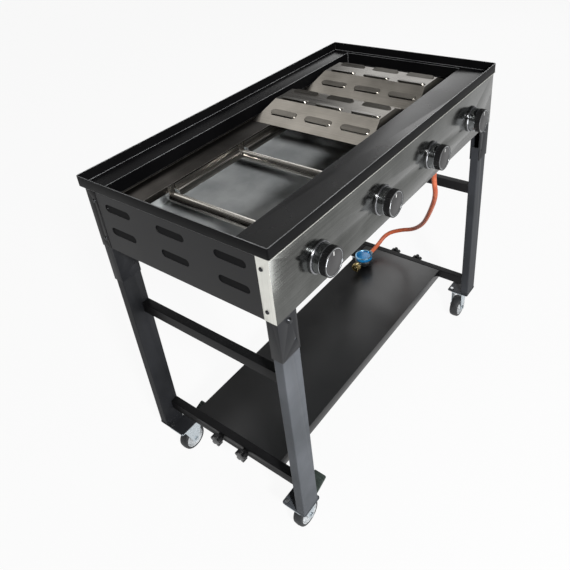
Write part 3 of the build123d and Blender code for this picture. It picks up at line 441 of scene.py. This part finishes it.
# painted shade: the upright outside of the rim is darker than the deck, and duller
rim = bpy.data.objects["topFrame"]
rim.data.materials.append(rimShadeCoat)
for face in rim.data.polygons:
    if abs(face.normal.z) < acrossAxis and face.material_index == 0:
        face.material_index = 2
print("rolled edges on", len(rolledEdges), "solids")


# side panels: plain sheet with six pressed louvres, each an oval dish that opens along its top
sideSizes = {
    "sheet": 1.0,
    "long": 80.0,
    "tall": 19.0,
    "topDepth": 3.4,
    "lowDepth": 0.7,
    "wall": 1.0,
    "clear": 0.5,
    "columnPitch": 160.0,
    "topDrop": 34.0,
    "rowPitch": 59.0,
    "vent": (1.6, 60.0, 6.0),
    "ventDepth": 2.2,
    "roll": 0.25,
    "smooth": 8.0,
    "facets": 48,
}


# an oval block from near the outer face, its inner end sloping from the top's depth to the bottom's
def ovalBlock(spot, side, grow, start):
    s = sideSizes
    radius = s["tall"] / 2 + grow
    depth = s["topDepth"] + grow
    block = turn([(radius, start), (radius, depth)], spot, (-side, 0, 0), s["facets"])
    stretch = (s["long"] - s["tall"]) / 2 * mm
    slope = (s["topDepth"] - s["lowDepth"]) / 2
    for vertex in block.data.vertices:
        vertex.co.y += math.copysign(stretch, vertex.co.y - spot.y)
        if side * (spot.x - vertex.co.x) > depth / 2 * mm:
            vertex.co.x += side * slope * (radius * mm - vertex.co.z + spot.z) / radius
    return block


def buildSidePanel(side, nodeName, name):
    s = sideSizes
    low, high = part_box(nodeName)
    face = high.x if side > 0 else low.x
    middle = (low + high) / 2
    middle.x = face - side * s["sheet"] / 2 * mm
    panel = plainBlock(middle, (s["sheet"] * mm, high.y - low.y, high.z - low.z))
    columns = [middle.y + i * s["columnPitch"] * mm for i in (-1, 0, 1)]
    rows = [high.z - (s["topDrop"] + i * s["rowPitch"]) * mm for i in (0, 1)]
    spots = [Vector((face, y, z)) for y in columns for z in rows]
    vent = [v * mm for v in s["vent"]]
    rise = Vector((-side * s["ventDepth"], 0, s["tall"] / 2)) * mm
    combine(panel, [ovalBlock(spot, side, s["wall"], s["clear"]) for spot in spots], "UNION")
    combine(panel, [ovalBlock(spot, side, 0, -s["clear"]) for spot in spots], "DIFFERENCE")
    combine(panel, [plainBlock(spot + rise, vent) for spot in spots], "DIFFERENCE")
    panel.data.materials.clear()
    for material in (sideCoat, coatEdgeHighlight, louvreShadeCoat):
        panel.data.materials.append(material)
    # painted shade: faces sunk below the outer face take the darker hollow coat
    for part in panel.data.polygons:
        part.material_index = 2 if abs(part.center.x - face) > s["clear"] * mm else 0
    applyBevel(panel, s["roll"], slot=1)
    finishPiece(panel, name, bodyOf[nodeName], None, s["smooth"])
    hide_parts(nodeName)


buildSidePanel(-1, "left_side_panel", "leftSidePanel")
buildSidePanel(1, "right_side_panel", "rightSidePanel")
print("side panels pressed")


# the rim's lower front edge is hemmed: a pale steel rod as a painted highlight, a bright line above the
# panel
highlightHemSizes = {"radius": 1.0, "rounded": 0.7, "facets": 16}


def buildHem():
    s = highlightHemSizes
    low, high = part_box("top_frame")
    length = (high.x - low.x) / mm
    inner = s["radius"] - s["rounded"]
    rings = [
        (inner, 0.0),
        (s["radius"], s["rounded"]),
        (s["radius"], length - s["rounded"]),
        (inner, length),
    ]
    hem = turn(rings, (low.x, low.y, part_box("front_panel")[1].z), (1, 0, 0), s["facets"])
    finishPiece(hem, "rimHem", bodyOf["top_frame"], paleReflectionReturnSteel)


buildHem()
print("rim hemmed")


# flame tamers: hipped roofs of thin sheet, with rows of round-ended hoods that open downhill
tamerSizes = {
    "rise": 38.0,
    "flat": 76.0,
    "hip": 20.0,
    "sheet": 1.2,
    "long": 86.0,
    "wide": 19.0,
    "sunk": 0.6,
    "endTaper": 0.92,
    "flatHood": 4.6,
    "slopeHood": 2.6,
    "flatRow": 25.0,
    "rowStart": 67.0,
    "rowPitch": 111.0,
    "rowCount": 3,
    "slit": (6.0, 70.0),
    "slitFloor": -4.0,
    "lip": 1.8,
    "smooth": 8.0,
    "facets": 48,
    "shadeLean": 0.27,
    "shadeRise": 0.9,
}


def layOn(piece, spot, lean):
    pickOnly(piece)
    piece.rotation_euler = (0, lean, 0)
    piece.location = spot
    bpy.ops.object.transform_apply(location=True, rotation=True, scale=True)
    return piece


# a round-ended wedge, flush along one long edge and raised along the other, laid on a face of the roof
def pressedHood(spot, side, rise, lean):
    s = tamerSizes
    radius = s["wide"] / 2
    hood = turn([(radius, -s["sunk"]), (radius, rise)], (0, 0, 0), (0, 0, 1), s["facets"])
    stretch = (s["long"] - s["wide"]) / 2 * mm
    for vertex in hood.data.vertices:
        vertex.co.y += math.copysign(stretch, vertex.co.y)
        if vertex.co.z > 0:
            vertex.co.y *= s["endTaper"]
            vertex.co.z = rise * mm * (0.5 + side * vertex.co.x / (s["wide"] * mm))
    return layOn(hood, spot, lean)


def hoodSlit(spot, side, rise, lean):
    s = tamerSizes
    deep, long = s["slit"]
    top = rise - s["lip"]
    middle = Vector((side * s["wide"] / 2, 0, (top + s["slitFloor"]) / 2)) * mm
    slit = plainBlock(middle, Vector((deep, long, top - s["slitFloor"])) * mm)
    return layOn(slit, spot, lean)


def hippedRoof(foot, width, length):
    s = tamerSizes
    rise = s["rise"] * mm
    roof = plainBlock(foot + Vector((0, 0, rise / 2)), (width, length, rise))
    pickFaces(roof, lambda f: f.normal.z > alongAxis)
    shrink = (s["flat"] * mm / width, 1 - 2 * s["hip"] * mm / length, 1)
    bpy.ops.transform.resize(value=shrink, center_override=foot + Vector((0, 0, rise)))
    bpy.ops.object.mode_set(mode="OBJECT")
    return roof


def buildTamer(nodeName):
    s = tamerSizes
    low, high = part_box(nodeName)
    width, length = high.x - low.x, high.y - low.y
    foot = Vector(((low.x + high.x) / 2, (low.y + high.y) / 2, low.z))
    slopeMiddle = (width / mm + s["flat"]) / 4
    slope = math.atan2(s["rise"], (width / mm - s["flat"]) / 2)
    rows = [s["rowStart"] + i * s["rowPitch"] - length / mm / 2 for i in range(s["rowCount"])]
    places = []
    for side in (-1, 1):
        for y in rows:
            onFlat = foot + Vector((side * s["flatRow"], y, s["rise"])) * mm
            onSlope = foot + Vector((side * slopeMiddle, y, s["rise"] / 2)) * mm
            places.append((onFlat, side, s["flatHood"], 0))
            places.append((onSlope, side, s["slopeHood"], side * slope))
    below = foot - Vector((0, 0, s["sheet"] * mm))
    roof = hippedRoof(foot, width, length)
    combine(roof, [pressedHood(*place) for place in places], "UNION")
    combine(roof, [hippedRoof(below, width, length)], "DIFFERENCE")
    combine(roof, [hoodSlit(*place) for place in places], "DIFFERENCE")
    roof.data.materials.clear()
    for material in (tamerSteel, shadedTopSteel):
        roof.data.materials.append(material)
    # painted shade: the flat top and its hoods, which lean less than the slopes, take the darker steel
    for face in roof.data.polygons:
        dark = abs(face.normal.x) < s["shadeLean"] and face.normal.z > s["shadeRise"]
        face.material_index = 1 if dark else 0
    return roof


leftTamer = buildTamer("flame_tamer_left")
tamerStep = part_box("flame_tamer_right")[0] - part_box("flame_tamer_left")[0]
rightTamer = copyPiece(leftTamer, tamerStep)
for tamer, nodeName, name in ((leftTamer, "flame_tamer_left", "flameTamerLeft"),
                              (rightTamer, "flame_tamer_right", "flameTamerRight")):
    finishPiece(tamer, name, bodyOf[nodeName], None, tamerSizes["smooth"])
    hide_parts(nodeName)
print("flame tamers pressed")


# control knobs: ribbed grip, plated collar on the stem, face in a bright ring, pointer
knobSizes = {
    "grip": [(27.2, 1.6), (28.6, 0.4), (30.6, 0.0), (31.6, 1.0), (31.6, 15.2), (30.8, 15.8)],
    "collar": [(30.6, 15.8), (31.2, 16.4), (31.2, 30.9), (30.2, 32.0), (4.0, 32.0), (4.0, 59.0)],
    "ring": [(27.2, 1.6), (27.4, 0.5), (28.0, 0.3), (28.6, 0.6), (28.6, 1.6), (27.2, 1.6)],
    "face": [(27.1, 1.7), (27.1, 1.2), (26.4, 0.9)],
    "ribs": 36,
    "ribInset": 0.6,
    "ribDepth": 0.8,
    "pointer": (2.4, 0.7, 9.0),
    "pointerTop": 25.0,
    "pointerRoll": 0.25,
    "gripSmooth": 25.0,
    "smooth": 35.0,
}


def knobCentre(number):
    low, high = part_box("control_knob_" + str(number))
    return Vector(((low.x + high.x) / 2, low.y, (low.z + high.z) / 2))


def makeKnob(centre):
    s = knobSizes
    inward = (0, 1, 0)
    sides = 2 * s["ribs"]
    grip = turn(s["grip"], centre, inward, sides)
    near, far = s["grip"][3][1], s["grip"][4][1]  # the straight wall, grooved between its ribs

    def groove(face):
        across = face.center - centre
        step = int((math.atan2(across.z, across.x) / math.tau + 1) * sides)
        return abs(face.normal.y) < acrossAxis and near < across.y / mm < far and step % 2 == 0

    pickFaces(grip, groove)
    bpy.ops.mesh.inset(thickness=s["ribInset"] * mm, depth=-s["ribDepth"] * mm, use_individual=True)
    collar = turn(s["collar"], centre, inward, sides)
    ring = turn(s["ring"], centre, inward, sides, True)
    face = turn(s["face"], centre, inward, sides)
    wide, thick, tall = s["pointer"]
    spot = centre + Vector((0, thick, s["pointerTop"] - tall / 2)) * mm
    pointer = plainBlock(spot, (wide * mm, thick * mm, tall * mm))
    applyBevel(pointer, s["pointerRoll"])
    return {
        "knobGrip": (grip, knobBlack, "knob_plastic", s["gripSmooth"]),
        "knobCollar": (collar, knobChrome, "bezel_metal", s["smooth"]),
        "knobRing": (ring, knobChrome, "bezel_metal", s["smooth"]),
        "knobFace": (face, knobFaceGrey, "knob_plastic", s["smooth"]),
        "knobPointer": (pointer, pointerWhite, "knob_plastic", s["smooth"]),
    }


knobParts = makeKnob(knobCentre(1))
for number in (2, 3, 4, 1):  # copies first, then the first knob's own pieces
    node = "control_knob_" + str(number)
    shift = knobCentre(number) - knobCentre(1)
    for name, (piece, material, slotName, smooth) in knobParts.items():
        part = copyPiece(piece, shift) if number > 1 else piece
        finishPiece(part, name + str(number), bodyOf[node], material, smooth)
        if name == "knobGrip":
            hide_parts(node)
print("knobs turned")


# caster wheels: tyre with a crowned tread on a pale moulded core
wheelSizes = {
    "tread": 37.5,
    "crown": 1.2,
    "shoulder": 5.0,
    "halfWidth": 13.4,
    "seat": 28.4,
    "lip": 26.0,
    "lipHalf": 13.0,
    "lipSlope": 1.5,
    "webHalf": 5.0,
    "hub": 11.8,
    "hubHalf": 15.9,
    "hubRound": 1.0,
    "bore": 4.06,
    "edge": 0.5,
    "arcSteps": 6,
    "sides": 64,
}


def wheelCentre(place):
    low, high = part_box("caster_wheel_" + place)
    return (low + high) / 2


def makeWheel(centre):
    s = wheelSizes
    axle = (0, 1, 0)
    tyreHalf = [(s["seat"], -s["halfWidth"])]
    middle = s["tread"] - s["crown"] - s["shoulder"]
    inset = s["halfWidth"] - s["shoulder"]
    for i in range(s["arcSteps"] + 1):
        a = math.pi / 2 * i / s["arcSteps"]
        tyreHalf.append((middle + s["shoulder"] * math.sin(a), -inset - s["shoulder"] * math.cos(a)))
    tyreFar = [(r, -h) for r, h in reversed(tyreHalf)]
    tyreRings = tyreHalf + [(s["tread"], 0)] + tyreFar + tyreHalf[:1]
    tyre = turn(tyreRings, centre, axle, s["sides"], True)
    coreHalf = [
        (s["bore"], s["hubHalf"]),
        (s["hub"] - s["hubRound"], s["hubHalf"]),
        (s["hub"], s["hubHalf"] - s["hubRound"]),
        (s["hub"] + s["hubRound"], s["webHalf"]),
        (s["lip"] - s["lipSlope"], s["webHalf"]),
        (s["lip"], s["lipHalf"]),
        (s["seat"], s["lipHalf"]),
    ]
    coreFar = [(r, -h) for r, h in reversed(coreHalf)]
    core = turn(coreHalf + coreFar + coreHalf[:1], centre, axle, s["sides"], True)
    applyBevel(core, s["edge"])
    return {"casterTyre": (tyre, tyreRubber), "casterCore": (core, coreGrey)}


wheelParts = makeWheel(wheelCentre(corners[0]))
for place in corners[1:] + corners[:1]:
    node = "caster_wheel_" + place
    shift = wheelCentre(place) - wheelCentre(corners[0])
    for name, (piece, material) in wheelParts.items():
        part = copyPiece(piece, shift) if place != corners[0] else piece
        finishPiece(part, name + place.title().replace("_", ""), bodyOf[node], material)
        if name == "casterTyre":
            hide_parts(node)
print("wheels turned")


# regulator cap: painted dome in a bright crimped rim
capSizes = {
    "dome": [(28.6, 0.2), (29.4, 1.2), (29.4, 9.8), (28.6, 11.4), (25.0, 11.4), (23.6, 9.6), (18.0, 10.4),
             (9.0, 11.2), (2.0, 11.5)],
    "rim": [(24.6, 11.2), (25.0, 12.8), (26.0, 13.7), (27.4, 13.9), (28.6, 13.2), (29.2, 11.8),
            (29.0, 10.6), (24.6, 11.2)],
    "domeSmooth": 40.0,
    "sides": 64,
}


def buildCap():
    s = capSizes
    low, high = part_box("regulator_cap")
    centre = Vector(((low.x + high.x) / 2, (low.y + high.y) / 2, low.z))
    dome = turn(s["dome"], centre, (0, 0, 1), s["sides"])
    finishPiece(dome, "regulatorDome", "station", capBlue, s["domeSmooth"])
    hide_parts("regulator_cap")
    rim = turn(s["rim"], centre, (0, 0, 1), s["sides"], True)
    finishPiece(rim, "regulatorRim", "station", rimBlue)
    return [dome, rim]


regulatorCap = buildCap()
print("regulator dressed")


# panel screws: pan heads with a cross recess, one modelled for each side and copied
screwSizes = {
    "head": [(4.6, 0.0), (4.5, 0.7), (3.9, 1.5), (2.6, 1.95)],
    "headHigh": 2.0,
    "shank": [(2.5, -0.1), (2.5, -7.6)],
    "cross": (0.8, 3.4, 1.0),
    "headSides": 20,
    "shankSides": 16,
}


def buildScrews():
    s = screwSizes
    low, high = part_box("panel_screws")
    radius = s["head"][0][0] * mm
    seat = high.x - s["headHigh"] * mm
    columns = (low.y + radius, high.y - radius)
    rows = (low.z + radius, high.z - radius)
    spots = [(y, z) for y in columns for z in rows]
    wide, long, deep = [v * mm for v in s["cross"]]
    pieces = []
    for side in (-1, 1):
        axis = Vector((side, 0, 0))
        first = Vector((side * seat, *spots[0]))
        top = first + axis * s["head"][-1][1] * mm
        head = turn(s["head"], first, axis, s["headSides"])
        for size in ((deep, wide, long), (deep, long, wide)):
            combine(head, [plainBlock(top, size)], "DIFFERENCE")
        shank = turn(s["shank"], first, axis, s["shankSides"])
        for y, z in spots[1:]:
            shift = Vector((side * seat, y, z)) - first
            pieces += [copyPiece(head, shift), copyPiece(shank, shift)]
        pieces += [head, shank]
    screws = joinPieces(pieces)
    finishPiece(screws, "panelScrews", "station", fastenerDark)
    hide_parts("panel_screws")


buildScrews()
print("screws set")


# gas hose on the route of its solid, with a crimped sleeve at the regulator
hoseSizes = {
    "radius": 7.0,
    "route": [(217, -210.7, 715), (217, -210.7, 660), (235, -212, 602), (327, -150, 473), (425, -82, 353),
              (479, -19, 278), (489, 38, 251), (471, 86, 229), (422, 99.3, 194), (370, 99.3, 194)],
    "length": 0.785,  # in metres
    "sleeve": [(8.2, 0.0), (9.4, 0.6), (9.4, 4.5), (8.7, 5.6), (8.7, 8.4), (9.4, 9.5), (9.4, 15.0),
               (8.6, 15.8), (7.2, 15.8)],
    "sleeveSides": 40,
    "order": 3,
    "steps": 16,
    "roundSteps": 6,
}


def buildHose():
    s = hoseSizes
    curve = bpy.data.curves.new("gasHose", "CURVE")
    curve.dimensions = "3D"
    spline = curve.splines.new("NURBS")
    spline.points.add(len(s["route"]) - 1)
    for point, (x, y, z) in zip(spline.points, s["route"]):
        point.co = (x * mm, y * mm, z * mm, 1.0)
    spline.order_u = s["order"]
    spline.use_endpoint_u = True
    spline.resolution_u = s["steps"]
    curve.bevel_depth = s["radius"] * mm
    curve.bevel_resolution = s["roundSteps"]
    curve.use_fill_caps = True
    curve.materials.append(hoseRubber)
    hose = bpy.data.objects.new("gasHose", curve)
    bpy.context.scene.collection.objects.link(hose)
    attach(hose, "station")
    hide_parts("gas_hose")
    sleeve = turn(s["sleeve"], Vector(s["route"][-1]) * mm, (1, 0, 0), s["sleeveSides"])
    finishPiece(sleeve, "hoseSleeve", "station", zincPlate)


buildHose()
print("hose laid")


# floor, light and camera, placed in metres
studio = {
    "floorSize": 40.0,
    "floorColour": "c8c8c8",
    "floorRough": 0.9,
    "floorGlow": 0.93,
    "skyHorizon": 0.7,
    "skyTop": 0.17,
    "horizonEnd": 0.06,
    "topStart": 0.32,
    "leftLevel": 0.25,
    "leftEnd": -0.7,
    "rightStart": 0.3,
    "cameraPlace": (-1.0845, -0.8190, 1.4788),
    "cameraTurn": (57.967, 4.895, -53.349),
    "lens": 37.775,
    "sensor": 36.0,
    "shift": (-0.0279, -0.1349),
}
# place, target, width and height, watts
softboxes = {
    "keySoftbox": ((-1.6, -2.4, 2.4), (0, 0, 0.7), (0.35, 0.35), 135.0),
    "overheadSoftbox": ((0.3, 1.7, 3.4), (0.2, 0, 0.85), (1.2, 1.2), 10.0),
    "windowSoftbox": ((3.5, 1.1, 2.4), (0.3, -0.1, 0.5), (2.0, 2.6), 35.0),
    "legSoftbox": ((-0.25, -1.6, 0.4), (-0.45, -0.2, 0.25), (0.6, 0.6), 8.0),
}


def buildStudio():
    clearSelection()
    bpy.ops.mesh.primitive_plane_add(size=studio["floorSize"], location=(0, 0, 0))
    floor = bpy.context.object
    floor.name = "studioFloor"
    material, tree, shader = startMaterial("paleFloor", 0.0, studio["floorRough"])[:3]
    shader.inputs["Base Color"].default_value = linear(studio["floorColour"])
    shader.inputs["Specular IOR Level"].default_value = 0.0
    path = addNode(tree, "ShaderNodeLightPath")
    seen = addNode(tree, "ShaderNodeMath", {"operation": "MAXIMUM"},
                   {0: path.outputs["Is Camera Ray"], 1: path.outputs["Is Glossy Ray"]})
    seen = addNode(tree, "ShaderNodeMath", {"operation": "MAXIMUM"},
                   {0: seen.outputs[0], 1: path.outputs["Is Transmission Ray"]})
    share = addNode(tree, "ShaderNodeMath", {"operation": "MULTIPLY"},
                    {0: seen.outputs[0], 1: studio["floorGlow"]})
    white = addNode(tree, "ShaderNodeEmission", {}, {"Strength": 1.0})
    blend = addNode(tree, "ShaderNodeMixShader", {},
                    {0: share.outputs[0], 1: shader.outputs[0], 2: white.outputs[0]})
    tree.links.new(blend.outputs[0], tree.nodes["Material Output"].inputs["Surface"])
    floor.data.materials.append(material)

    # soft world: pale at the horizon, darker overhead and on the left
    world = bpy.data.worlds.new("softStudio")
    world.use_nodes = True
    bpy.context.scene.world = world
    tree = world.node_tree
    aim = addNode(tree, "ShaderNodeTexCoord").outputs["Generated"]
    parts = addNode(tree, "ShaderNodeSeparateXYZ", {}, {0: aim}).outputs
    level = addNode(tree, "ShaderNodeMapRange", {"interpolation_type": "SMOOTHSTEP"},
                    {"Value": parts["Z"], "From Min": studio["horizonEnd"], "From Max": studio["topStart"],
                     "To Min": studio["skyHorizon"], "To Max": studio["skyTop"]})
    side = addNode(tree, "ShaderNodeMapRange", {"interpolation_type": "SMOOTHSTEP"},
                   {"Value": parts["X"], "From Min": studio["leftEnd"], "From Max": studio["rightStart"],
                    "To Min": studio["leftLevel"], "To Max": 1.0})
    strength = addNode(tree, "ShaderNodeMath", {"operation": "MULTIPLY"},
                       {0: level.outputs[0], 1: side.outputs[0]})
    background = tree.nodes["Background"]
    background.inputs["Color"].default_value = (1, 1, 1, 1)
    tree.links.new(strength.outputs[0], background.inputs["Strength"])

    for name, (place, target, size, power) in softboxes.items():
        lamp = bpy.data.lights.new(name, "AREA")
        lamp.shape = "RECTANGLE"
        lamp.size, lamp.size_y = size
        lamp.energy = power
        light = bpy.data.objects.new(name, lamp)
        bpy.context.scene.collection.objects.link(light)
        light.location = place
        light.rotation_euler = (Vector(target) - Vector(place)).to_track_quat("-Z", "Y").to_euler()

    lens = bpy.data.cameras.new("photoCamera")
    lens.lens = studio["lens"]
    lens.sensor_width = studio["sensor"]
    lens.shift_x, lens.shift_y = studio["shift"]
    camera = bpy.data.objects.new("photoCamera", lens)
    bpy.context.scene.collection.objects.link(camera)
    camera.location = studio["cameraPlace"]
    camera.rotation_euler = [math.radians(a) for a in studio["cameraTurn"]]
    bpy.context.scene.camera = camera
    bpy.context.scene.view_settings.view_transform = "Standard"


buildStudio()
print("studio ready")
